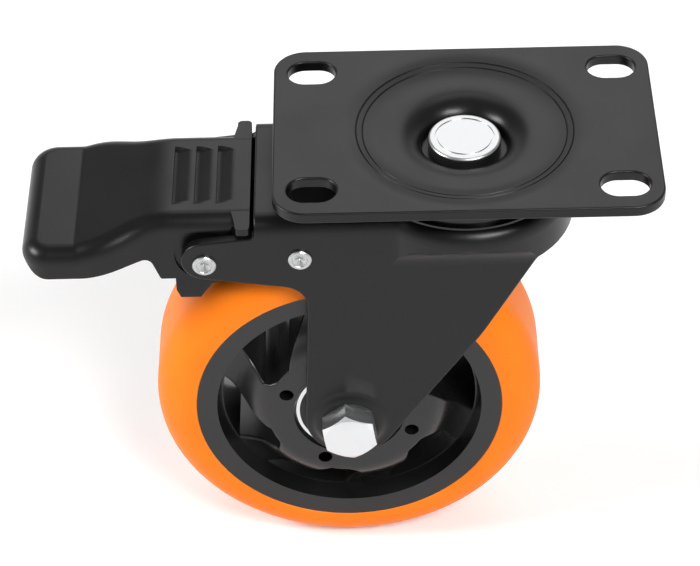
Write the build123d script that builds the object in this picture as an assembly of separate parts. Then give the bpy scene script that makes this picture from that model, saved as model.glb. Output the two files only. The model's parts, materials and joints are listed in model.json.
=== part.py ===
from build123d import *
import os
from math import acos, cos, degrees, radians, sin, sqrt, tan

# Swivel castor with a foot brake that locks the wheel and the swivel together.
# Millimetres, +Z up. The origin is where the swivel axis meets the mounting face,
# +X points away from the pedal, and the wheel trails towards the pedal.

# Mounting plate
plate_length = 94.0
plate_width = 64.0
plate_sheet = 3.0
plate_corner_r = 8.0
plate_edge_r = 0.5
slot_spacing_x = 75.0
slot_spacing_y = 46.0
slot_length = 12.0
slot_width = 8.8

# Dish pressed into the plate: a sunk ring, then a funnel down to the kingpin seat
dish_r = 31.4
dish_depth = 1.6
line_outer_r = 26.7
line_inner_r = 25.1
line_width = 0.5
line_depth = 0.2
floor_r = 20.6
funnel_r = 18.6
funnel_wall_r = 10.4
seat_depth = 6.8
funnel_under_r = 17.5
funnel_under_wall_r = 13.5
funnel_under_bend_r = 1.2

# Kingpin: a headed rivet, peened over a washer
kingpin_head_r = 9.0
kingpin_head_height = 3.7
kingpin_r = 6.0
kingpin_edge_r = 0.7
kingpin_ring_r = 7.0
kingpin_ring_width = 0.7
kingpin_ring_depth = 0.2
kingpin_washer_r = 7.8
kingpin_washer_sheet = 1.5
kingpin_tail_r = 7.0
kingpin_tail_height = 2.4

# Upper race cup, pressed, with a small turned-out lip
cup_sheet = 1.5
cup_r = 24.5
cup_bore_r = 17.8
cup_lip_r = 25.5
cup_lip_sheet = 0.6
cup_bend_r = 1.0

# Swivel bearing balls, in grooves pressed into the fork and the races
upper_ball_d = 6.3
upper_ball_count = 18
upper_track_r = 19.4
upper_groove = 0.5
lower_ball_d = 4.0
lower_ball_count = 18
lower_track_r = 13.6
lower_groove = 0.35

# Lock ring: the lower race, with a notched rim that the brake tooth rises into
lock_sheet = 2.0
lock_hub_r = 10.4
lock_rim_r = 17.9
lock_rim_height = 5.1
lock_bend_r = 1.0
lock_notch_count = 12
lock_notch_width = 4.4
lock_notch_depth = 2.8

# Clearances
pin_fit = 0.05
ball_fit = 0.05
seat_fit = 0.02
swing_gap = 0.3
side_gap = 0.4

# Fork, pressed from one sheet
fork_gap = 37.0
fork_sheet = 2.5
fork_edge_r = 0.5
crown_r = 27.3
crown_hole_r = 11.4
crown_neck_r = 5.0
shoulder_r = 4.5
bulge_r = 4.0
bulge_foot_r = 9.0
bulge_start = 3.2
bulge_proud = 0.4
skirt_height = 12.4
box_rear_x = -52.0
arm_end_r = 5.7
arm_end_rise = 0.8
arm_root_z = -16.9
arm_notch_r = 1.5
leg_rear_x = -39.4
leg_rear_z = -33.8
leg_rear_r = 6.5
leg_knee_x = 4.0
leg_knee_z = -50.0
leg_knee_r = 80.0
foot_r = 11.7
foot_lead = 0.5
pad_base_r = 10.6
pad_face_r = 7.4
pad_height = 1.2

# Axle line, with a hex bolt, sleeve, spacers and nut
axle_trail = 30.0
axle_drop = 79.6
axle_r = 4.0
bolt_flats = 13.0
bolt_head_height = 5.3
bolt_turn = 8.0
bolt_chamfer_r = 6.2
bolt_tail = 2.5
bolt_tail_chamfer = 0.8
washer_r = 8.0
washer_sheet = 1.6
nut_height = 6.5
nut_collar_r = 5.8
nut_collar_height = 1.6
sleeve_bore_r = 4.1
inner_spacer_r = 8.0
outer_spacer_r = 6.8

# Wheel bearings, two of 12 x 28 x 8
bearing_bore_r = 6.0
bearing_r = 14.0
bearing_width = 8.0
bearing_inset = 0.9
race_inner_r = 8.3
race_outer_r = 11.7
wheel_ball_d = 4.76
wheel_ball_count = 8
cage_sheet = 0.9
cage_width = 5.9
seal_sheet = 0.4
seal_inset = 0.3
race_edge_r = 0.3
race_rim = 1.1

# Wheel core, moulded with six swept spokes
hub_face = 17.7
hub_r = 19.8
hub_mouth_r = 14.5
hub_bore_r = 12.5
hub_hole_r = 1.85
hub_hole_ring_r = 17.4
hub_hole_depth = 7.0
hub_hole_turn = 67.5
spoke_waist_r = 26.5
spoke_waist = 13.8
rim_ledge_r = 33.3
rim_ledge = 10.5
rim_mouth_r = 34.3
rim_face_inner = 15.5
rim_face = 15.8
rim_r = 39.6
rim_key_height = 2.0
rim_key_width = 10.0
spoke_count = 6
window_turn = 158.8
window_rim_r = 32.9
window_hub_r = 21.3
window_edge_r = 0.7
window_rim_start = 9.4
window_rim_end = 48.2
window_hub_start = 37.0
window_hub_end = 49.5

# Tyre, moulded on the core
tyre_r = 50.0
tyre_width = 32.0
tyre_shoulder_r = 8.5

# Foot pedal, pressed from one sheet and pivoting on the rear pin
pin_r = 2.2
pin_head_r = 2.9
pin_head_height = 0.8
pin_dimple_r = 1.5
pin_dimple_depth = 1.0
pin_ring_r = 2.0
pin_ring_depth = 0.15
pedal_pin_x = -64.5
pedal_pin_z = -24.8
pedal_sheet = 2.0
pedal_neck_width = 35.0
pedal_toe_width = 44.6
pedal_neck_end_x = -74.0
pedal_toe_start_x = -93.0
pedal_heel_gap = 1.0
pedal_deck_z = -13.4
pedal_slope_x = -76.0
pedal_slope_r = 30.0
pedal_crease_x = -96.0
pedal_toe_z = -19.3
pedal_crease_r = 3.0
pedal_toe_x = -109.5
pedal_shoulder_r = 4.2
pedal_corner_r = 7.0
pedal_skirt_z = -27.3
pedal_lobe_z = -32.1
pedal_flange_end_x = -57.4
pedal_flange_top_z = -16.0
pedal_flange_waist = 1.8
pedal_flange_waist_z = -19.5
pedal_flange_low_z = -26.0
pedal_lobe_front_x = -66.0
pedal_lobe_rear_x = -75.7
pedal_lobe_r = 3.0
pedal_lobe_rear_r = 0.8
pedal_arch_x = -78.2
pedal_arch_z = -24.9
pedal_arch_r = 2.5
pedal_skirt_x = -94.0
pedal_skirt_r = 12.0
pedal_toe_low_x = -105.8
pedal_toe_low_z = -20.0
pedal_toe_low_r = 5.0
pedal_joggle = 0.6
pedal_joggle_r = 7.5
pedal_tab_reach = 7.0
pedal_tab_x = -75.0
pedal_tab_length = 5.0
ear_length = 3.6
ear_root = 2.0
ear_corner_r = 1.2
ear_drop = 0.1
ear_half_width = 21.3
grip_start = 8.4
grip_pitch = 5.4
grip_count = 3
grip_depth = 0.9
grip_run = 4.6
grip_half_width = 11.6
grip_end_r = 2.0
sleeve_r = 3.4

# Brake arm, a channel on the front pin with a shoe lip behind and a tooth in front
brake_pin_x = -41.0
brake_pin_z = -23.6
arm_width = 26.0
arm_sheet = 2.0
arm_boss_r = 5.0
arm_web_drop = 0.6
arm_front_reach = 5.5
arm_belly_reach = 8.0
arm_belly_drop = 2.4
arm_knee_x = -60.0
arm_knee_z = -36.3
arm_heel_x = -63.5
arm_heel_z = -38.0
arm_floor_knee_x = -61.0
arm_floor_knee_z = -34.6
arm_floor_heel_x = -65.2
arm_floor_heel_z = -36.9
arm_back_x = -68.5
arm_waist_x = -58.0
arm_waist_z = -29.0
arm_tongue_width = 10.0
tooth_width = 3.2
tooth_gap = 0.4
tooth_height = 2.8
tooth_slope = 0.9
tongue_gap = 0.7
tab_gap = 0.5
shoe_z = -42.4
shoe_front_x = -66.5
shoe_rear_x = -71.5
shoe_end = 1.0
shoe_end_rise = 2.5
spacer_tube_r = 4.0

# Torsion spring on the front pin
spring_r = 2.9
spring_wire_r = 0.45
spring_turns = 5
spring_pitch = 1.3
spring_rear_leg = 8.0
spring_top_leg = 7.6
spring_start = -73.0
spring_finish = 30.0

# Levels that follow from the sizes above
cup_z = -(dish_depth + plate_sheet)
upper_ball_r = upper_ball_d / 2
upper_ball_z = cup_z - cup_sheet - ball_fit - upper_ball_r
fork_top = upper_ball_z - upper_ball_r - ball_fit + upper_groove
fork_under = fork_top - fork_sheet
lower_ball_r = lower_ball_d / 2
lower_ball_z = fork_under + lower_groove - ball_fit - lower_ball_r
lock_brim_z = lower_ball_z - lower_ball_r - ball_fit + lower_groove
lock_rim_z = lock_brim_z - lock_rim_height
seat_under_z = -(seat_depth + plate_sheet)
fork_half = fork_gap / 2
fork_face = fork_half + fork_sheet
pad_face = fork_face + pad_height
pad_inner = fork_half + pad_height
axle_x = -axle_trail
axle_z = -axle_drop
bearing_face = hub_face - bearing_inset
bearing_back = bearing_face - bearing_width
bearing_middle = bearing_face - bearing_width / 2
ball_track_r = (race_inner_r + race_outer_r) / 2
wheel_ball_r = wheel_ball_d / 2
tyre_half = tyre_width / 2
skirt_z = fork_top - skirt_height
pedal_heel_x = box_rear_x - pedal_heel_gap

AXLE = Pos(axle_x, 0, axle_z) * Rot(90, 0, 0)
PEDAL_PIN = Pos(pedal_pin_x, 0, pedal_pin_z) * Rot(90, 0, 0)
BRAKE_PIN = Pos(brake_pin_x, 0, brake_pin_z) * Rot(90, 0, 0)
SIDE = Plane.XZ


# Shapes used again and again

def turned(*edges):
    """A solid of revolution about Z, from edges drawn as radius and height."""
    return revolve(SIDE * make_face(edges), Axis.Z)


def lathe(*points):
    """A solid of revolution about Z, from straight runs of radius and height."""
    return turned(Polyline(*points, close=True))


def tube(inner, outer, low, high):
    return lathe((inner, low), (outer, low), (outer, high), (inner, high))


def disc(radius, low, high):
    return Pos(0, 0, (low + high) / 2) * Cylinder(radius, high - low)


def across(profile, half_width):
    """A side outline, drawn in X and Z, carried the same way to both sides."""
    return extrude(SIDE * profile, half_width, both=True)


def both_sides(shape):
    """The piece and its mirror image on the far side."""
    return shape, mirror(shape, Plane.XZ)


def touch(point, centre, radius, side):
    """Where a straight edge from point meets a round end, on the side asked for."""
    away = Vector(*point) - Vector(*centre)
    turn = side * degrees(acos(radius / away.length))
    return Vector(*centre) + away.normalized().rotate(Axis.Z, turn) * radius


def corner(face, radius, x, z):
    """Rounds the corner of a face that lies nearest a point."""
    nearest = face.vertices().sort_by_distance((x, z, 0))[0]
    return fillet(nearest, radius)


def on_circle(radius, angle):
    return radius * cos(radians(angle)), radius * sin(radians(angle))


def balls(radius, track_r, height, count):
    """A ring of separate balls."""
    places = PolarLocations(track_r, count)
    return Compound(children=[Pos(0, 0, height) * place * Sphere(radius) for place in places])


def groove(radius, track_r, height):
    """The ring that a row of balls sweeps, for cutting its raceway."""
    ring = Pos(track_r, height) * Circle(radius)
    return revolve(SIDE * ring, Axis.Z)


# Plate side

def make_top_plate():
    blank = RectangleRounded(plate_length, plate_width, plate_corner_r)
    slots = GridLocations(slot_spacing_x, slot_spacing_y, 2, 2) * SlotOverall(slot_length, slot_width)
    slab = Pos(0, 0, -plate_sheet) * extrude(blank - slots, plate_sheet)
    slab = fillet(slab.faces().filter_by(Axis.Z).edges(), plate_edge_r)
    slab -= disc(dish_r, -2 * plate_sheet, plate_sheet)
    wall_top = -seat_depth
    under_wall = seat_under_z + funnel_under_bend_r
    bore_r = kingpin_r + seat_fit
    foot_r = funnel_under_wall_r - funnel_under_bend_r
    face = [
        Spline((dish_r, 0), (floor_r, -dish_depth), tangents=((-1, 0), (-1, 0))),
        Line((floor_r, -dish_depth), (funnel_r, -dish_depth)),
        Pos(funnel_r, wall_top) * EllipticalCenterArc(
            (0, 0), funnel_r - funnel_wall_r, seat_depth - dish_depth, 90, arc_size=90),
        Polyline((funnel_wall_r, wall_top), (bore_r, wall_top), (bore_r, seat_under_z),
                 (foot_r, seat_under_z)),
        RadiusArc((foot_r, seat_under_z), (funnel_under_wall_r, under_wall), -funnel_under_bend_r),
        Pos(funnel_under_r, under_wall) * EllipticalCenterArc(
            (0, 0), funnel_under_r - funnel_under_wall_r, cup_z - under_wall, 90, arc_size=90),
        Line((funnel_under_r, cup_z), (cup_lip_r, cup_z)),
        Spline((cup_lip_r, cup_z), (dish_r, -plate_sheet), tangents=((1, 0), (1, 0))),
        Line((dish_r, -plate_sheet), (dish_r, 0)),
    ]
    plate = slab + turned(*face)
    for radius in (line_outer_r, line_inner_r):
        plate -= dish_line(radius)
    return plate


def dish_line(radius):
    """One fine pressed line round the dish, a V as deep as its depth below the slope."""
    along = (radius - floor_r) / (dish_r - floor_r)
    slope_z = -dish_depth * (1 - along ** 2 * (3 - 2 * along))
    half = line_width / 2
    return lathe((radius - half, 1), (radius - half, slope_z), (radius, slope_z - line_depth),
                 (radius + half, slope_z), (radius + half, 1))


def make_upper_race():
    lip_low = fork_top + swing_gap
    lip_high = lip_low + cup_lip_sheet
    profile = make_face(Polyline(
        (cup_bore_r, cup_z), (cup_r, cup_z), (cup_r, lip_high), (cup_lip_r, lip_high),
        (cup_lip_r, lip_low), (cup_r - cup_sheet, lip_low),
        (cup_r - cup_sheet, cup_z - cup_sheet), (cup_bore_r, cup_z - cup_sheet), close=True))
    profile = corner(profile, cup_bend_r, cup_r, cup_z)
    return revolve(SIDE * profile, Axis.Z)


def make_kingpin():
    head_z = kingpin_head_height - seat_depth
    washer_z = seat_under_z - lock_sheet - kingpin_washer_sheet
    tail_z = washer_z - kingpin_tail_height
    ring_out = kingpin_ring_r + kingpin_ring_width / 2
    ring_in = kingpin_ring_r - kingpin_ring_width / 2
    ring_z = head_z - kingpin_ring_depth
    profile = make_face(Polyline(
        (0, head_z), (ring_in, head_z), (ring_in, ring_z), (ring_out, ring_z), (ring_out, head_z),
        (kingpin_head_r, head_z), (kingpin_head_r, -seat_depth), (kingpin_r, -seat_depth),
        (kingpin_r, washer_z), (kingpin_tail_r, washer_z), (kingpin_tail_r, tail_z), (0, tail_z),
        close=True))
    profile = corner(profile, kingpin_edge_r, kingpin_head_r, head_z)
    profile = corner(profile, kingpin_tail_height - kingpin_edge_r, kingpin_tail_r, tail_z)
    return revolve(SIDE * profile, Axis.Z)


def make_kingpin_washer():
    top = seat_under_z - lock_sheet
    return tube(kingpin_r + seat_fit, kingpin_washer_r, top - kingpin_washer_sheet, top)


def make_lock_ring():
    hub_inner = lock_hub_r - lock_sheet
    rim_inner = lock_rim_r - lock_sheet
    profile = make_face(Polyline(
        (kingpin_r + seat_fit, seat_under_z), (lock_hub_r, seat_under_z), (lock_hub_r, lock_brim_z),
        (lock_rim_r, lock_brim_z), (lock_rim_r, lock_rim_z), (rim_inner, lock_rim_z),
        (rim_inner, lock_brim_z - lock_sheet), (hub_inner, lock_brim_z - lock_sheet),
        (hub_inner, seat_under_z - lock_sheet), (kingpin_r + seat_fit, seat_under_z - lock_sheet),
        close=True))
    profile = corner(profile, lock_bend_r, lock_rim_r, lock_brim_z)
    profile = corner(profile, lock_bend_r, lock_hub_r, seat_under_z)
    ring = revolve(SIDE * profile, Axis.Z)
    ring -= groove(lower_ball_r + ball_fit, lower_track_r, lower_ball_z)
    notch = Pos(lock_rim_r, 0, lock_rim_z) * Box(
        3 * lock_sheet, lock_notch_width, 2 * lock_notch_depth)
    return ring - PolarLocations(0, lock_notch_count) * notch


# Fork side

def fork_block(inset):
    """The fork's closed outer form, or the hollow inside it when inset by the sheet."""
    half = fork_face - inset
    crown = crown_r - inset
    top = fork_top - inset
    reach = -2 * pedal_pin_x + inset
    plan = Pos(-reach / 2, 0) * Rectangle(reach, 2 * half) + Circle(crown)
    neck_x = -sqrt(crown ** 2 - half ** 2)
    for side in (-1, 1):
        plan = corner(plan, crown_neck_r + inset, neck_x, side * half)
    depth = 2 * axle_drop
    block = Pos(0, 0, top - depth) * extrude(plan, depth)
    block = fillet(block.faces().sort_by(Axis.Z)[-1].edges(), shoulder_r - inset)
    return block & bulge(half, crown, inset)


def bulge(half, crown, inset):
    """The section across the fork, where the round crown draws in to the flat legs."""
    high = fork_top - bulge_start
    convex_r = bulge_r - inset
    concave_r = bulge_foot_r + inset
    convex_y = crown + bulge_proud - convex_r
    concave_y = half + concave_r
    drop = sqrt((convex_r + concave_r) ** 2 - (concave_y - convex_y) ** 2)
    low = high - drop
    share = convex_r / (convex_r + concave_r)
    meet = (convex_y + (concave_y - convex_y) * share, high - drop * share)
    bottom = -2 * axle_drop
    edges = [
        Polyline((0, bottom), (half, bottom), (half, low)),
        RadiusArc((half, low), meet, concave_r),
        RadiusArc(meet, (crown + bulge_proud, high), -convex_r),
        Polyline((crown + bulge_proud, high), (crown + bulge_proud, 0), (0, 0), (0, bottom)),
    ]
    right = extrude(Plane.YZ * make_face(edges), 4 * crown_r, both=True)
    return right + mirror(right, Plane.XZ)


def leg_outline():
    """The fork seen from the side: crown and box, rear arms and the raked legs."""
    above = fork_top + 1
    front_x = crown_r + 1
    skirt_x = sqrt(crown_r ** 2 - fork_face ** 2)
    foot = (axle_x + foot_lead, axle_z)
    end = (pedal_pin_x, pedal_pin_z + arm_end_rise)
    knee = (leg_knee_x, leg_knee_z)
    hock = (leg_rear_x, leg_rear_z)
    toe_front = touch(knee, foot, foot_r, -1)
    toe_rear = touch(hock, foot, foot_r, 1)
    toe_tip = Vector(foot[0], foot[1] - foot_r)
    end_low = touch(hock, end, arm_end_r, -1)
    arm_root = (box_rear_x, arm_root_z)
    end_top = touch(arm_root, end, arm_end_r, 1)
    end_tip = Vector(end[0] - arm_end_r, end[1])
    face = make_face([
        Polyline((front_x, above), (front_x, skirt_z), (skirt_x, skirt_z), knee, toe_front),
        ThreePointArc(toe_front, toe_tip, toe_rear),
        Polyline(toe_rear, hock, end_low),
        ThreePointArc(end_low, end_tip, end_top),
        Polyline(end_top, arm_root, (box_rear_x, above), (front_x, above)),
    ])
    face = corner(face, leg_knee_r, *knee)
    face = corner(face, leg_rear_r, *hock)
    return corner(face, arm_notch_r, *arm_root)


def pad(low, inset):
    """The soft round swelling at the axle hole, or the hollow behind it."""
    high = low + pad_height
    return turned(
        Polyline((pad_face_r - inset, high), (0, high), (0, low), (pad_base_r - inset, low)),
        Spline((pad_base_r - inset, low), (pad_face_r - inset, high), tangents=((-1, 0), (-1, 0))),
    )


def on_outline(edge, outline):
    """Tells the edges that run along the cut outline of the sheet."""
    rim = outline.faces()[0].outer_wire()
    points = [edge @ 0, edge @ 0.5, edge @ 1]
    beside = all(rim.distance_to(Vector(point.X, point.Z)) < pin_fit for point in points)
    return beside and abs(points[0].Y - points[2].Y) < edge.length / 2


def make_fork():
    outline = leg_outline()
    fork = fork_block(0) & across(outline, 2 * crown_r)
    rim = fork.edges().filter_by(lambda edge: on_outline(edge, outline))
    fork = fillet(rim, fork_edge_r)
    fork -= fork_block(fork_sheet)
    for side in (AXLE, AXLE * Rot(180, 0, 0)):
        fork += side * pad(fork_face, 0)
        fork -= side * pad(fork_half, pad_height / 2)
    fork -= AXLE * Cylinder(axle_r + pin_fit, 4 * fork_face)
    fork -= PEDAL_PIN * Cylinder(pin_r + pin_fit, 4 * fork_face)
    fork -= BRAKE_PIN * Cylinder(pin_r + pin_fit, 4 * fork_face)
    fork -= disc(crown_hole_r, fork_under - 1, fork_top + 1)
    fork -= groove(upper_ball_r + ball_fit, upper_track_r, upper_ball_z)
    return fork - groove(lower_ball_r + ball_fit, lower_track_r, lower_ball_z)


def make_rivet():
    """A pin right across the fork, its two ends peened into round heads."""
    face = fork_face + pin_head_height
    edge = pin_head_height / 3
    half = turned(
        Polyline((0, 0), (pin_r, 0), (pin_r, fork_face), (pin_head_r, fork_face),
                 (pin_head_r, face - edge), (pin_head_r - edge, face),
                 (pin_ring_r, face), (pin_ring_r - pin_ring_depth, face - pin_ring_depth),
                 (pin_dimple_r, face), (0, face - pin_dimple_depth), close=True))
    return half + mirror(half, Plane.XY)


def hexagon(height, flats, crown_chamfer_r):
    """A hex prism with its far corners turned down to a cone."""
    blank = extrude(RegularPolygon(flats / 2, 6, major_radius=False, rotation=30 + bolt_turn), height)
    corner_r = flats / sqrt(3)
    drop = (corner_r - crown_chamfer_r) * tan(radians(30))
    cone = lathe((0, 0), (corner_r, 0), (corner_r, height - drop), (crown_chamfer_r, height), (0, height))
    return blank & cone


def make_axle_bolt():
    tip = pad_face + washer_sheet + nut_height + nut_collar_height + bolt_tail
    head = Pos(0, 0, pad_face) * hexagon(bolt_head_height, bolt_flats, bolt_chamfer_r)
    shank = lathe((0, pad_face), (axle_r, pad_face), (axle_r, bolt_tail_chamfer - tip),
                  (axle_r - bolt_tail_chamfer, -tip), (0, -tip))
    return AXLE * (head + shank)


def make_axle_washer():
    return AXLE * tube(axle_r + pin_fit, washer_r, -pad_face - washer_sheet, -pad_face)


def make_axle_nut():
    seat = pad_face + washer_sheet
    body = Pos(0, 0, seat) * hexagon(nut_height, bolt_flats, bolt_chamfer_r)
    collar = tube(0, nut_collar_r, seat, seat + nut_height + nut_collar_height)
    bore = Cylinder(axle_r + seat_fit, 4 * seat)
    return AXLE * Rot(180, 0, 0) * ((body + collar) - bore)


def make_axle_sleeve():
    return AXLE * tube(sleeve_bore_r, bearing_bore_r, -pad_inner, pad_inner)


def make_inner_spacer():
    return AXLE * tube(bearing_bore_r + seat_fit, inner_spacer_r, -bearing_back, bearing_back)


def make_outer_spacer():
    return AXLE * tube(bearing_bore_r + seat_fit, outer_spacer_r, bearing_face, pad_inner)


# Wheel bearings, drawn for the near side

def race(inner, outer):
    ring = tube(inner, outer, bearing_back, bearing_face)
    rims = ring.edges().filter_by(GeomType.CIRCLE)
    ring = fillet(rims, race_edge_r)
    return ring - groove(wheel_ball_r + ball_fit, ball_track_r, bearing_middle)


def seal_seat():
    """The two steps cut into an outer race, one for each seal."""
    step = seal_inset + seal_sheet
    reach = bearing_r - race_rim
    return [disc(reach, bearing_face - step, bearing_face + step),
            disc(reach, bearing_back - step, bearing_back + step)]


def make_inner_race():
    return AXLE * race(bearing_bore_r + seat_fit, race_inner_r)


def make_outer_race():
    return AXLE * (race(race_outer_r, bearing_r - seat_fit) - seal_seat())


def make_wheel_balls():
    return AXLE * balls(wheel_ball_r, ball_track_r, bearing_middle, wheel_ball_count)


def make_cage():
    ring = tube(ball_track_r - cage_sheet / 2, ball_track_r + cage_sheet / 2,
                bearing_middle - cage_width / 2, bearing_middle + cage_width / 2)
    pocket = Rot(0, 90, 0) * Cylinder(wheel_ball_r + 2 * ball_fit, 4 * cage_sheet)
    for place in PolarLocations(ball_track_r, wheel_ball_count):
        ring -= Pos(0, 0, bearing_middle) * place * pocket
    return AXLE * ring


def make_seals():
    """The two shields of one bearing, held by its outer race."""
    outer = bearing_face - seal_inset
    inner = bearing_back + seal_inset
    plate_in = race_inner_r + side_gap
    plate_out = bearing_r - race_rim - seat_fit
    return AXLE * Compound(children=[
        tube(plate_in, plate_out, outer - seal_sheet, outer),
        tube(plate_in, plate_out, inner, inner + seal_sheet),
    ])


# Wheel

def window():
    """One opening between two swept spokes, as it is seen along the axle."""
    def at(share, angle):
        return on_circle(window_hub_r + share * (window_rim_r - window_hub_r), angle)
    rim_middle = (window_rim_start + window_rim_end) / 2
    hub_middle = (window_hub_start + window_hub_end) / 2
    bay = at(0.2, 57)
    return make_face([
        ThreePointArc(at(1, window_rim_start), at(1, rim_middle), at(1, window_rim_end)),
        Spline(at(1, window_rim_end), at(0.58, 53), bay),
        Spline(bay, at(0.08, 54.5), at(0, window_hub_end)),
        ThreePointArc(at(0, window_hub_end), at(0, hub_middle), at(0, window_hub_start)),
        Spline(at(0, window_hub_start), at(0.28, 26.5), at(0.66, 15), at(1, window_rim_start)),
    ])


def on_window(edge):
    """Tells the front edges of the windows, all but the arc that follows the rim."""
    middle = edge @ 0.5
    radius = sqrt(middle.X ** 2 + middle.Y ** 2)
    low = min((edge @ 0).Z, (edge @ 1).Z)
    return low > rim_ledge - pin_fit and window_hub_r - pin_fit < radius < window_rim_r - window_edge_r


def make_wheel_core():
    half = turned(
        Polyline((hub_bore_r, 0), (hub_bore_r, bearing_back), (bearing_r, bearing_back),
                 (bearing_r, bearing_face), (hub_mouth_r, hub_face), (hub_r, hub_face)),
        Spline((hub_r, hub_face), (spoke_waist_r, spoke_waist), (rim_ledge_r, rim_ledge),
               tangents=((1, 0), (1, 0))),
        Polyline((rim_ledge_r, rim_ledge), (rim_mouth_r, rim_face_inner), (rim_r, rim_face),
                 (rim_r, rim_key_width / 2), (rim_r + rim_key_height, rim_key_width / 2),
                 (rim_r + rim_key_height, 0), (hub_bore_r, 0)),
    )
    cutter = extrude(window(), hub_face)
    step = 360 / spoke_count
    for index in range(spoke_count):
        half -= Rot(0, 0, window_turn + index * step) * cutter
    half = fillet(half.edges().filter_by(on_window), window_edge_r)
    hole = Pos(0, 0, hub_face) * Cylinder(hub_hole_r, 2 * hub_hole_depth)
    for place in PolarLocations(hub_hole_ring_r, 4, hub_hole_turn):
        half -= place * hole
    return AXLE * (half + mirror(half, Plane.XY))


def make_tyre():
    side_r = tyre_r - tyre_shoulder_r
    tread = tyre_half - tyre_shoulder_r
    bond_r = rim_r + seat_fit
    key_r = bond_r + rim_key_height
    key = rim_key_width / 2 + seat_fit
    half = turned(
        Polyline((key_r, 0), (key_r, key), (bond_r, key), (bond_r, rim_face),
                 (rim_r + (tyre_half - rim_face), tyre_half), (side_r, tyre_half)),
        RadiusArc((side_r, tyre_half), (tyre_r, tread), tyre_shoulder_r),
        Polyline((tyre_r, tread), (tyre_r, 0), (key_r, 0)),
    )
    return AXLE * (half + mirror(half, Plane.XY))


# Foot pedal

def pedal_side(inset):
    """The pedal's deck line from the side, closed far below and behind."""
    deep = 3 * pedal_lobe_z
    back = pedal_heel_x + inset * fork_gap
    front = pedal_toe_x + inset
    deck = pedal_deck_z - inset
    toe = pedal_toe_z - inset
    face = make_face(Polyline(
        (back, deck), (pedal_slope_x, deck), (pedal_crease_x, toe), (front, toe), (front, deep),
        (back, deep), close=True))
    face = corner(face, pedal_slope_r - inset, pedal_slope_x, deck)
    return corner(face, pedal_crease_r + inset, pedal_crease_x, toe)


def pedal_plan(inset):
    """The pedal from above: a straight neck that widens to the toe."""
    neck = pedal_neck_width / 2 - inset
    toe = pedal_toe_width / 2 - inset
    back = pedal_heel_x + inset * fork_gap
    front = pedal_toe_x + inset
    half = make_face([
        Line((back, 0), (back, neck)),
        Line((back, neck), (pedal_neck_end_x, neck)),
        Spline((pedal_neck_end_x, neck), (pedal_toe_start_x, toe), tangents=((-1, 0), (-1, 0))),
        Polyline((pedal_toe_start_x, toe), (front, toe), (front, 0), (back, 0)),
    ])
    half = corner(half, pedal_corner_r - inset, front, toe)
    return half + mirror(half, Plane.XZ)


def pedal_form(inset):
    plan = extrude(pedal_plan(inset), 2 * pedal_lobe_z)
    form = plan & across(pedal_side(inset), pedal_toe_width)
    rim = form.edges().filter_by(lambda edge: on_pedal_rim(edge, inset))
    return fillet(rim, pedal_shoulder_r - inset)


def on_pedal_rim(edge, inset):
    """Tells the edges where the deck turns down, along both sides and round the toe."""
    middle = edge @ 0.5
    low = min((edge @ 0).Z, (edge @ 1).Z)
    beside = abs(middle.Y) > pedal_neck_width / 2 - inset - pin_fit
    at_toe = middle.X < pedal_toe_x + inset + pin_fit
    return low > pedal_toe_z - inset - pin_fit and (beside or at_toe)


def pedal_trim():
    """The side outline that the flanges are cut to."""
    above = pedal_deck_z + pedal_sheet
    heel = pedal_heel_x + pedal_sheet
    toe = pedal_toe_x - pedal_sheet
    waist_x = pedal_flange_end_x - pedal_flange_waist
    face = make_face(Polyline(
        (heel, above), (heel, pedal_flange_top_z), (pedal_flange_end_x, pedal_flange_top_z),
        (waist_x, pedal_flange_waist_z), (waist_x, pedal_flange_low_z), (pedal_lobe_front_x, pedal_lobe_z),
        (pedal_lobe_rear_x, pedal_lobe_z), (pedal_arch_x, pedal_arch_z), (pedal_skirt_x, pedal_skirt_z),
        (pedal_toe_low_x, pedal_skirt_z), (toe, pedal_toe_low_z), (toe, above), close=True))
    face = corner(face, pedal_lobe_r, waist_x, pedal_flange_low_z)
    face = corner(face, pedal_lobe_r, pedal_lobe_front_x, pedal_lobe_z)
    face = corner(face, pedal_lobe_rear_r, pedal_lobe_rear_x, pedal_lobe_z)
    face = corner(face, pedal_arch_r, pedal_arch_x, pedal_arch_z)
    face = corner(face, pedal_skirt_r, pedal_skirt_x, pedal_skirt_z)
    return corner(face, pedal_toe_low_r, pedal_toe_low_x, pedal_skirt_z)


def grip_cut(x):
    """One saw-tooth grip line across the deck: steep at its rear, run out ahead and at its two ends."""
    ramp = Spline((x, pedal_deck_z - grip_depth), (x + grip_run, pedal_deck_z), tangents=((1, 0), (1, 0)))
    above = pedal_deck_z + grip_end_r
    ahead = x + grip_run
    rim = Polyline((ahead, pedal_deck_z), (ahead, above), (x, above), (x, pedal_deck_z - grip_depth))
    cut = across(make_face([ramp, rim]), grip_half_width)
    return fillet(cut.edges().filter_by(GeomType.BSPLINE), grip_end_r)


def ears():
    """The two ends of the deck's heel strip that stand out at its sides."""
    rear = pedal_heel_x - ear_length
    root_y = pedal_neck_width / 2 - 2 * pedal_shoulder_r
    flare_y = ear_half_width - ear_root
    plan = make_face(Polyline(
        (pedal_heel_x, root_y), (pedal_heel_x, ear_half_width), (rear, ear_half_width),
        (rear, flare_y), (rear - ear_root, root_y), close=True))
    plan = corner(plan, ear_corner_r, pedal_heel_x, ear_half_width)
    plan = corner(plan, ear_corner_r, rear, ear_half_width)
    return both_sides(Pos(0, 0, pedal_deck_z - pedal_sheet - ear_drop) * extrude(plan, pedal_sheet))


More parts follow.
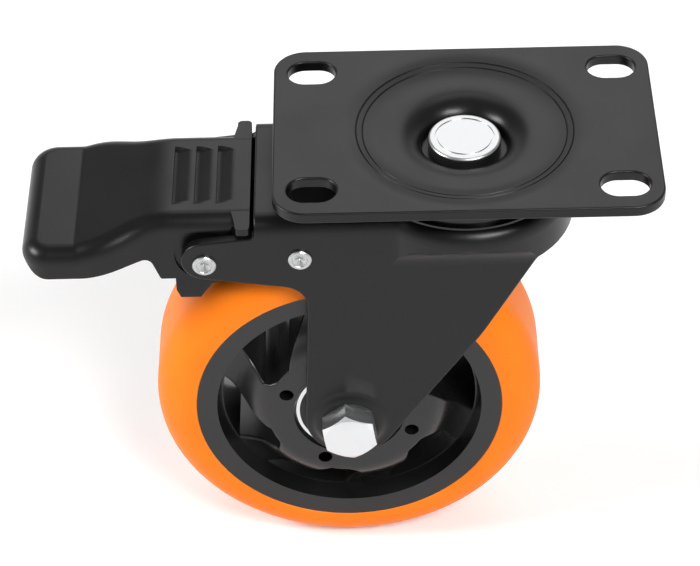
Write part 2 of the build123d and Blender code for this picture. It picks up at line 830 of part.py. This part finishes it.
def make_pedal():
    pedal = pedal_form(0) - pedal_form(pedal_sheet)
    pedal += ears()
    neck = pedal_neck_width / 2
    trim = across(pedal_trim(), pedal_toe_width)
    pedal &= trim
    outside = neck - pedal_joggle
    inside = outside - pedal_sheet
    for side in (PEDAL_PIN, PEDAL_PIN * Rot(180, 0, 0)):
        step = side * disc(pedal_joggle_r, inside, neck - pedal_sheet)
        pedal += step & trim
        pedal -= side * disc(pedal_joggle_r, outside, fork_half + pedal_sheet)
    tab = Box(pedal_tab_length, pedal_tab_reach, pedal_sheet)
    tab_y = neck - pedal_joggle - pedal_tab_reach / 2
    for side in (-1, 1):
        pedal += Pos(pedal_tab_x + pedal_tab_length / 2, side * tab_y, pedal_lobe_z + pedal_sheet / 2) * tab
    for index in range(grip_count):
        pedal -= grip_cut(pedal_heel_x - grip_start - index * grip_pitch)
    return pedal - PEDAL_PIN * Cylinder(pin_r + pin_fit, 4 * fork_half)


def make_pedal_sleeve():
    reach = pedal_neck_width / 2 - pedal_joggle - pedal_sheet - swing_gap
    return PEDAL_PIN * tube(pin_r + pin_fit, sleeve_r, -reach, reach)


# Brake arm

def make_brake_arm():
    boss = (brake_pin_x, brake_pin_z)
    web = brake_pin_z - arm_boss_r - arm_web_drop
    front = (brake_pin_x + arm_front_reach, web + arm_web_drop)
    middle = (brake_pin_x, web)
    belly = (brake_pin_x - arm_belly_reach, web - arm_belly_drop)
    rear_x = shoe_rear_x - shoe_end
    tab_z = pedal_lobe_z - tab_gap
    waist = (arm_waist_x, arm_waist_z)
    crown_rear = touch(waist, boss, arm_boss_r, -1)
    crown_front = touch(front, boss, arm_boss_r, 1)
    crown_top = Vector(brake_pin_x, brake_pin_z + arm_boss_r)
    side = make_face([
        Polyline(front, middle, belly, (arm_knee_x, arm_knee_z), (arm_heel_x, arm_heel_z),
                 (shoe_front_x, shoe_z), (shoe_rear_x, shoe_z), (rear_x, shoe_z + shoe_end_rise),
                 (rear_x, tab_z), (arm_back_x, tab_z), waist, crown_rear),
        ThreePointArc(crown_rear, crown_top, crown_front),
        Line(crown_front, front),
    ])
    floor = [(x, z + arm_sheet) for x, z in (front, middle, belly)]
    beyond = front[0] + arm_sheet
    behind = rear_x - arm_sheet
    hollow = make_face(Polyline(
        (beyond, floor[0][1]), *floor, (arm_floor_knee_x, arm_floor_knee_z),
        (arm_floor_heel_x, arm_floor_heel_z), (shoe_front_x - shoe_end, shoe_z + arm_sheet),
        (behind, shoe_z + arm_sheet), (behind, 0), (beyond, 0), close=True))
    arm = across(side, arm_width / 2) - across(hollow, arm_width / 2 - arm_sheet)
    root_x = -(lock_rim_r + tongue_gap)
    tip_x = lock_sheet - lock_rim_r
    top = lock_rim_z - tooth_gap
    low = top - tooth_height
    shoulder = top - tooth_slope
    tongue = make_face(Polyline(
        (front[0] - shoe_end, front[1]), (root_x, low), (root_x, shoulder),
        (front[0] - shoe_end, front[1] + arm_sheet), close=True))
    tooth = make_face(Polyline(
        (root_x - tongue_gap, low), (tip_x, low), (tip_x, top), (-lock_rim_r, top),
        (root_x - tongue_gap, shoulder), close=True))
    arm += across(tongue, arm_tongue_width / 2)
    arm += across(tooth, tooth_width / 2)
    return arm - BRAKE_PIN * Cylinder(pin_r + pin_fit, 4 * fork_half)


def make_arm_spacer():
    start = arm_width / 2 + swing_gap
    return BRAKE_PIN * tube(pin_r + pin_fit, spacer_tube_r, start, fork_half - swing_gap)


def make_brake_spring():
    """A coil round the pin, one leg along the arm and one up under the fork's box."""
    turns = spring_turns + (spring_finish - spring_start) / 360
    coil = Helix(spring_pitch, spring_pitch * turns, spring_r)
    rear = Line(coil @ 0 - (coil % 0) * spring_rear_leg, coil @ 0)
    top = Line(coil @ 1, coil @ 1 + (coil % 1) * spring_top_leg)
    path = Wire([rear, coil, top])
    wire = sweep(Plane(path @ 0, z_dir=path % 0) * Circle(spring_wire_r), path=path)
    return BRAKE_PIN * Pos(0, 0, -spring_pitch * turns / 2) * Rot(0, 0, spring_start) * wire


# Write every piece to its own file

parts = {
    "top_plate": make_top_plate(),
    "upper_race": make_upper_race(),
    "kingpin": make_kingpin(),
    "kingpin_washer": make_kingpin_washer(),
    "lock_ring": make_lock_ring(),
    "upper_balls": balls(upper_ball_r, upper_track_r, upper_ball_z, upper_ball_count),
    "lower_balls": balls(lower_ball_r, lower_track_r, lower_ball_z, lower_ball_count),
    "fork": make_fork(),
    "pedal_pin": PEDAL_PIN * make_rivet(),
    "brake_pin": BRAKE_PIN * make_rivet(),
    "axle_bolt": make_axle_bolt(),
    "axle_washer": make_axle_washer(),
    "axle_nut": make_axle_nut(),
    "axle_sleeve": make_axle_sleeve(),
    "inner_spacer": make_inner_spacer(),
    "wheel_core": make_wheel_core(),
    "tyre": make_tyre(),
    "pedal": make_pedal(),
    "pedal_sleeve": make_pedal_sleeve(),
    "brake_arm": make_brake_arm(),
    "brake_spring": make_brake_spring(),
}
pairs = {
    "outer_spacer": make_outer_spacer(),
    "inner_race": make_inner_race(),
    "outer_race": make_outer_race(),
    "wheel_balls": make_wheel_balls(),
    "cage": make_cage(),
    "seals": make_seals(),
    "arm_spacer": make_arm_spacer(),
}
for name, piece in pairs.items():
    parts["near_" + name], parts["far_" + name] = both_sides(piece)

os.makedirs("parts", exist_ok=True)
for name, piece in parts.items():
    export_step(piece, f"parts/{name}.step")
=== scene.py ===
import json
import math

import bmesh
import bpy
from mathutils import Matrix, Vector


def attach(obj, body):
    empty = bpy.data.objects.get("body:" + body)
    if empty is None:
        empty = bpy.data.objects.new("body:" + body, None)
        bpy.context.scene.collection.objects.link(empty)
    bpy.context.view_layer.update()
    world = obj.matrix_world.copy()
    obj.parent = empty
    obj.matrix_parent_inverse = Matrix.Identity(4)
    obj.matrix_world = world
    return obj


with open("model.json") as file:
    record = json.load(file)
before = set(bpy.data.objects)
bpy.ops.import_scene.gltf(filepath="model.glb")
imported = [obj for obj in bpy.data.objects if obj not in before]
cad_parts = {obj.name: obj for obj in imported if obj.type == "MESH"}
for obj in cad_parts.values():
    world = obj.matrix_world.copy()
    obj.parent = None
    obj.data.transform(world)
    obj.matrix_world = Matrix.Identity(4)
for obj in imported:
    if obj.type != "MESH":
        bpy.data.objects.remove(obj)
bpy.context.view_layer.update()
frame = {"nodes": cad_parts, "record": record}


# Photo's view: the line of sight and its roll in radians, the point looked at and the lens
VIEW_TURN = 0.00998
VIEW_DROP = 0.72726
VIEW_ROLL = -0.02796
LOOK_AT = (-0.02911, 0.0, -0.05043)
VIEW_DISTANCE = 0.71123
LENS = 142.4
SENSOR = 36.0
NEAREST_SEEN = 0.01
FARTHEST_SEEN = 20.0

# Light room: the ceiling dims between two heights of the line of sight
WHITE = (1.0, 1.0, 1.0, 1.0)
SOFT_LEVEL = 0.18
WALL_LEVEL = 1.0
CEILING_LEVEL = 0.3
WALL_TOP = 0.1
CEILING_EDGE = 0.5

# Floor: it lies just under the tyre and glows more with distance, as a lit backdrop does
FLOOR_LEVEL = -0.1297
FLOOR_HALF_WIDTH = 3.0
FLOOR_PAINT = (0.85, 0.85, 0.85, 1.0)
FLOOR_ROUGHNESS = 0.9
NEAR_GLOW = 0.2
FAR_GLOW = 0.85
GLOW_START = 0.3
GLOW_FULL = 1.5

# Finishes: a slow change of tone over each piece, and a fine grain in its surface
TONE_SCALE = 60.0
TONE_DETAIL = 2.0
TONE_ROUGHNESS = 0.5
TONE_DARK_END = 0.35
TONE_LIGHT_END = 0.65
GLOSS_LOW_END = 0.3
GLOSS_HIGH_END = 0.7
GRAIN_DETAIL = 4.0
GRAIN_ROUGHNESS = 0.6
GRAIN_STRENGTH = 0.35

# Axle: its place, and the outer face of the lock nut
AXLE_X = -0.030
AXLE_Z = -0.0796
AXLE_R = 0.004
NUT_FACE = 0.0319
AXLE_MIDDLE = (AXLE_X, 0.0, AXLE_Z)
AXLE_AXIS = (0.0, 1.0, 0.0)


def view_axes():
    """Right, up and back of the camera"""
    back = Vector((
        math.sin(VIEW_TURN) * math.cos(VIEW_DROP),
        -math.cos(VIEW_TURN) * math.cos(VIEW_DROP),
        math.sin(VIEW_DROP),
    ))
    level = Vector((math.cos(VIEW_TURN), math.sin(VIEW_TURN), 0.0))
    upright = back.cross(level)
    right = level * math.cos(VIEW_ROLL) + upright * math.sin(VIEW_ROLL)
    up = -level * math.sin(VIEW_ROLL) + upright * math.cos(VIEW_ROLL)
    return right, up, back


def add_camera():
    """The camera that stands where the photo was taken from"""
    right, up, back = view_axes()
    data = bpy.data.cameras.new("camera")
    data.lens = LENS
    data.sensor_width = SENSOR
    data.clip_start = NEAREST_SEEN
    data.clip_end = FARTHEST_SEEN
    camera = bpy.data.objects.new("camera", data)
    bpy.context.scene.collection.objects.link(camera)
    turn = Matrix((right, up, back)).transposed().to_4x4()
    camera.matrix_world = Matrix.Translation(Vector(LOOK_AT) + back * VIEW_DISTANCE) @ turn
    bpy.context.scene.camera = camera


# Node helpers
def new_material(name):
    """A material with its nodes, its links and its shader"""
    material = bpy.data.materials.new(name)
    material.use_nodes = True
    tree = material.node_tree
    return material, tree.nodes, tree.links, tree.nodes["Principled BSDF"]


def noise(nodes, links, scale, detail, roughness):
    """Noise over the piece's own coordinates, with scale in cells a metre"""
    place = nodes.new("ShaderNodeTexCoord")
    field = nodes.new("ShaderNodeTexNoise")
    field.inputs["Scale"].default_value = scale
    field.inputs["Detail"].default_value = detail
    field.inputs["Roughness"].default_value = roughness
    links.new(place.outputs["Object"], field.inputs["Vector"])
    return field.outputs["Fac"]


def carried(nodes, links, value, start, end, low, high):
    """A value between start and end, carried over to the range from low to high"""
    span = nodes.new("ShaderNodeMapRange")
    span.inputs["From Min"].default_value = start
    span.inputs["From Max"].default_value = end
    span.inputs["To Min"].default_value = low
    span.inputs["To Max"].default_value = high
    links.new(value, span.inputs["Value"])
    return span.outputs["Result"]


def combined(nodes, links, operation, first, second):
    """Two values taken together by one operation"""
    both = nodes.new("ShaderNodeMath")
    both.operation = operation
    links.new(first, both.inputs[0])
    links.new(second, both.inputs[1])
    return both.outputs["Value"]


def tint(nodes, links, value, dark, light):
    """Noise turned into a colour between dark and light"""
    ramp = nodes.new("ShaderNodeValToRGB")
    ramp.color_ramp.elements[0].position = TONE_DARK_END
    ramp.color_ramp.elements[0].color = (*dark, 1.0)
    ramp.color_ramp.elements[1].position = TONE_LIGHT_END
    ramp.color_ramp.elements[1].color = (*light, 1.0)
    links.new(value, ramp.inputs["Fac"])
    return ramp.outputs["Color"]


def add_grain(nodes, links, shader, value, depth):
    """Noise as a bump that is depth metres high"""
    relief = nodes.new("ShaderNodeBump")
    relief.inputs["Strength"].default_value = GRAIN_STRENGTH
    relief.inputs["Distance"].default_value = depth
    links.new(value, relief.inputs["Height"])
    links.new(relief.outputs["Normal"], shader.inputs["Normal"])


def coat_material(name, dark, light, rough, grain, grain_depth, metal=0.0, shine=0.5):
    """Paint, plastic, rubber or metal with a fine grain and a slow change of tone"""
    material, nodes, links, shader = new_material(name)
    tone = noise(nodes, links, TONE_SCALE, TONE_DETAIL, TONE_ROUGHNESS)
    fine = noise(nodes, links, grain, GRAIN_DETAIL, GRAIN_ROUGHNESS)
    gloss = carried(nodes, links, tone, GLOSS_LOW_END, GLOSS_HIGH_END, *rough)
    links.new(tint(nodes, links, tone, dark, light), shader.inputs["Base Color"])
    links.new(gloss, shader.inputs["Roughness"])
    add_grain(nodes, links, shader, fine, grain_depth)
    shader.inputs["Metallic"].default_value = metal
    shader.inputs["Specular IOR Level"].default_value = shine
    return material


satin_black = coat_material(
    "satin_black_powder_coat",
    dark=(0.003, 0.003, 0.0031), light=(0.0038, 0.0038, 0.0039), rough=(0.29, 0.35),
    grain=2600.0, grain_depth=0.00002, shine=0.28,
)
gloss_black = coat_material(
    "gloss_black_paint",
    dark=(0.006, 0.006, 0.0062), light=(0.008, 0.008, 0.0082), rough=(0.2, 0.26),
    grain=1800.0, grain_depth=0.00002, shine=0.36,
)
bright_zinc = coat_material(
    "bright_zinc_plate",
    dark=(0.64, 0.65, 0.66), light=(0.7, 0.71, 0.72), rough=(0.24, 0.32),
    grain=2200.0, grain_depth=0.00002, metal=1.0,
)
plain_steel = coat_material(
    "plain_turned_steel",
    dark=(0.42, 0.42, 0.43), light=(0.52, 0.52, 0.53), rough=(0.3, 0.4),
    grain=1600.0, grain_depth=0.00003, metal=1.0,
)
ball_steel = coat_material(
    "polished_bearing_steel",
    dark=(0.66, 0.67, 0.68), light=(0.7, 0.71, 0.72), rough=(0.08, 0.14),
    grain=900.0, grain_depth=0.00001, metal=1.0,
)
seal_rubber = coat_material(
    "bearing_seal_rubber",
    dark=(0.014, 0.014, 0.014), light=(0.02, 0.02, 0.02), rough=(0.55, 0.66),
    grain=1500.0, grain_depth=0.00003,
)
core_plastic = coat_material(
    "moulded_core_plastic",
    dark=(0.006, 0.006, 0.0062), light=(0.008, 0.008, 0.0083), rough=(0.26, 0.34),
    grain=1300.0, grain_depth=0.00004, shine=0.45,
)
orange_tyre = coat_material(
    "orange_cast_tyre",
    dark=(0.98, 0.208, 0.006), light=(1.0, 0.224, 0.009), rough=(0.42, 0.5),
    grain=900.0, grain_depth=0.00002, shine=0.15,
)
nylon = coat_material(
    "nut_nylon",
    dark=(0.5, 0.52, 0.5), light=(0.58, 0.6, 0.58), rough=(0.4, 0.5),
    grain=1200.0, grain_depth=0.00002,
)
rivet_zinc = coat_material(
    "dull_zinc_plate",
    dark=(0.43, 0.435, 0.44), light=(0.48, 0.485, 0.49), rough=(0.26, 0.34),
    grain=2200.0, grain_depth=0.00002, metal=1.0,
)

FINISHES = {
    "black_steel": satin_black,
    "gloss_black_steel": gloss_black,
    "bright_zinc": bright_zinc,
    "plain_steel": plain_steel,
    "bearing_steel": ball_steel,
    "seal_rubber": seal_rubber,
    "core_plastic": core_plastic,
    "orange_tyre": orange_tyre,
}
RIVETS = ("kingpin", "pedal_pin", "brake_pin")


def finish_nodes():
    """Give every piece of the frame the material of its slot, and the rivets a duller zinc"""
    slots = {}
    for subpart in frame["record"]["subparts"]:
        slots[subpart["node"]] = subpart["material_slot"]
    for name, piece in frame["nodes"].items():
        piece.data.materials.clear()
        piece.data.materials.append(rivet_zinc if name in RIVETS else FINISHES[slots[name]])


# Small pieces that the frame leaves to the scene
def add_piece(name, form, material, body):
    """A mesh piece with its normals outward, riding on one body of the frame"""
    bmesh.ops.recalc_face_normals(form, faces=form.faces)
    mesh = bpy.data.meshes.new(name)
    form.to_mesh(mesh)
    form.free()
    mesh.polygons.foreach_set("use_smooth", [True] * len(mesh.polygons))
    mesh.materials.append(material)
    piece = bpy.data.objects.new(name, mesh)
    bpy.context.scene.collection.objects.link(piece)
    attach(piece, body)


def axle_outline(form, points):
    """A closed outline beside the axle, from points of radius and place along it"""
    corners = [form.verts.new((AXLE_X + radius, along, AXLE_Z)) for radius, along in points]
    count = len(corners)
    edges = [form.edges.new((corners[i], corners[(i + 1) % count])) for i in range(count)]
    return corners, edges


def add_nylon_ring():
    """The nylon ring that shows in the mouth of the lock nut"""
    bolt_gap = 0.00012
    reach = 0.0011
    proud = 0.00025
    sunk = 0.0001
    edge = 0.0002
    steps = 96
    inner = AXLE_R + bolt_gap
    outer = AXLE_R + reach
    crest = NUT_FACE + proud
    low = NUT_FACE - sunk
    form = bmesh.new()
    corners, edges = axle_outline(form, [
        (inner, low), (inner, crest - edge), (inner + edge, crest),
        (outer - edge, crest), (outer, crest - edge), (outer, low),
    ])
    bmesh.ops.spin(
        form, geom=corners + edges, cent=AXLE_MIDDLE, axis=AXLE_AXIS,
        angle=math.tau, steps=steps, use_merge=True,
    )
    add_piece("nylon_ring", form, nylon, "fork")


def add_bolt_thread():
    """The thread on the bolt's tail, a fine ridge that climbs round it"""
    pitch = 0.00125
    turns = 1.2
    steps = 120
    nut_gap = 0.0004
    half_width = 0.00035
    rise = 0.00016
    sunk = 0.0001
    start = NUT_FACE + nut_gap
    root = AXLE_R - sunk
    form = bmesh.new()
    corners, edges = axle_outline(form, [
        (root, start - half_width), (AXLE_R + rise, start), (root, start + half_width),
    ])
    form.faces.new(corners)
    swept = bmesh.ops.spin(
        form, geom=corners + edges, cent=AXLE_MIDDLE, axis=AXLE_AXIS,
        dvec=(0.0, pitch * turns / steps, 0.0), angle=math.tau * turns, steps=steps,
    )
    last = [part for part in swept["geom_last"] if isinstance(part, bmesh.types.BMVert)]
    form.faces.new(last)
    add_piece("bolt_thread", form, bright_zinc, "fork")


# White room, which the camera, gloss and glass see, and a softer light that falls on the object
def sees_room(nodes, links):
    """One for the rays that show the room, to the camera or in gloss and glass, and nought for the others"""
    path = nodes.new("ShaderNodeLightPath")
    seen = path.outputs["Is Camera Ray"]
    for kind in ("Is Glossy Ray", "Is Transmission Ray"):
        seen = combined(nodes, links, "MAXIMUM", seen, path.outputs[kind])
    return seen


def add_world():
    """White walls and a dimmer ceiling for what shows the room, and the soft light for the rest"""
    world = bpy.data.worlds.new("studio")
    world.use_nodes = True
    bpy.context.scene.world = world
    nodes = world.node_tree.nodes
    links = world.node_tree.links
    soft = nodes["Background"]
    soft.inputs["Color"].default_value = WHITE
    soft.inputs["Strength"].default_value = SOFT_LEVEL
    place = nodes.new("ShaderNodeTexCoord")
    parts = nodes.new("ShaderNodeSeparateXYZ")
    links.new(place.outputs["Generated"], parts.inputs["Vector"])
    height = parts.outputs["Z"]
    level = carried(nodes, links, height, WALL_TOP, CEILING_EDGE, WALL_LEVEL, CEILING_LEVEL)
    room = nodes.new("ShaderNodeBackground")
    room.inputs["Color"].default_value = WHITE
    links.new(level, room.inputs["Strength"])
    mix = nodes.new("ShaderNodeMixShader")
    links.new(sees_room(nodes, links), mix.inputs["Fac"])
    links.new(soft.outputs["Background"], mix.inputs[1])
    links.new(room.outputs["Background"], mix.inputs[2])
    links.new(mix.outputs["Shader"], nodes["World Output"].inputs["Surface"])


def floor_material():
    """Pale matt paint that glows with distance, but throws no light of its own on the object's matt faces"""
    material, nodes, links, shader = new_material("pale_floor")
    shader.inputs["Base Color"].default_value = FLOOR_PAINT
    shader.inputs["Roughness"].default_value = FLOOR_ROUGHNESS
    shader.inputs["Specular IOR Level"].default_value = 0.0
    shader.inputs["Emission Color"].default_value = WHITE
    place = nodes.new("ShaderNodeTexCoord")
    reach = nodes.new("ShaderNodeVectorMath")
    reach.operation = "LENGTH"
    links.new(place.outputs["Object"], reach.inputs[0])
    distance = reach.outputs["Value"]
    glow = carried(nodes, links, distance, GLOW_START, GLOW_FULL, NEAR_GLOW, FAR_GLOW)
    seen_glow = combined(nodes, links, "MULTIPLY", glow, sees_room(nodes, links))
    links.new(seen_glow, shader.inputs["Emission Strength"])
    return material


def add_floor():
    """The plain floor under the tyre, riding on no body of the frame"""
    form = bmesh.new()
    bmesh.ops.create_grid(form, x_segments=1, y_segments=1, size=FLOOR_HALF_WIDTH)
    bmesh.ops.translate(form, verts=form.verts, vec=(0.0, 0.0, FLOOR_LEVEL))
    mesh = bpy.data.meshes.new("floor")
    form.to_mesh(mesh)
    form.free()
    mesh.materials.append(floor_material())
    floor = bpy.data.objects.new("floor", mesh)
    bpy.context.scene.collection.objects.link(floor)


def add_soft_light(name, place, width, height, power):
    """A lit panel that faces the object, with its sides in metres and its power in watts"""
    data = bpy.data.lights.new(name, "AREA")
    data.shape = "RECTANGLE"
    data.size = width
    data.size_y = height
    data.energy = power
    lamp = bpy.data.objects.new(name, data)
    bpy.context.scene.collection.objects.link(lamp)
    back = (Vector(place) - Vector(LOOK_AT)).normalized()
    lamp.matrix_world = Matrix.Translation(place) @ back.to_track_quat("Z", "Y").to_matrix().to_4x4()


finish_nodes()
add_nylon_ring()
add_bolt_thread()
add_camera()
add_world()
add_floor()
add_soft_light("back_box", place=(0.06, 0.82, 0.73), width=0.68, height=0.5, power=2.3)
add_soft_light("back_high_box", place=(0.06, 0.42, 1.0), width=0.6, height=0.16, power=1.0)
add_soft_light("front_box", place=(0.38, -0.64, 0.78), width=0.5, height=0.3, power=10.5)
add_soft_light("left_box", place=(-0.95, -0.12, 0.55), width=0.45, height=0.34, power=9.5)
bpy.context.scene.view_settings.view_transform = "Standard"
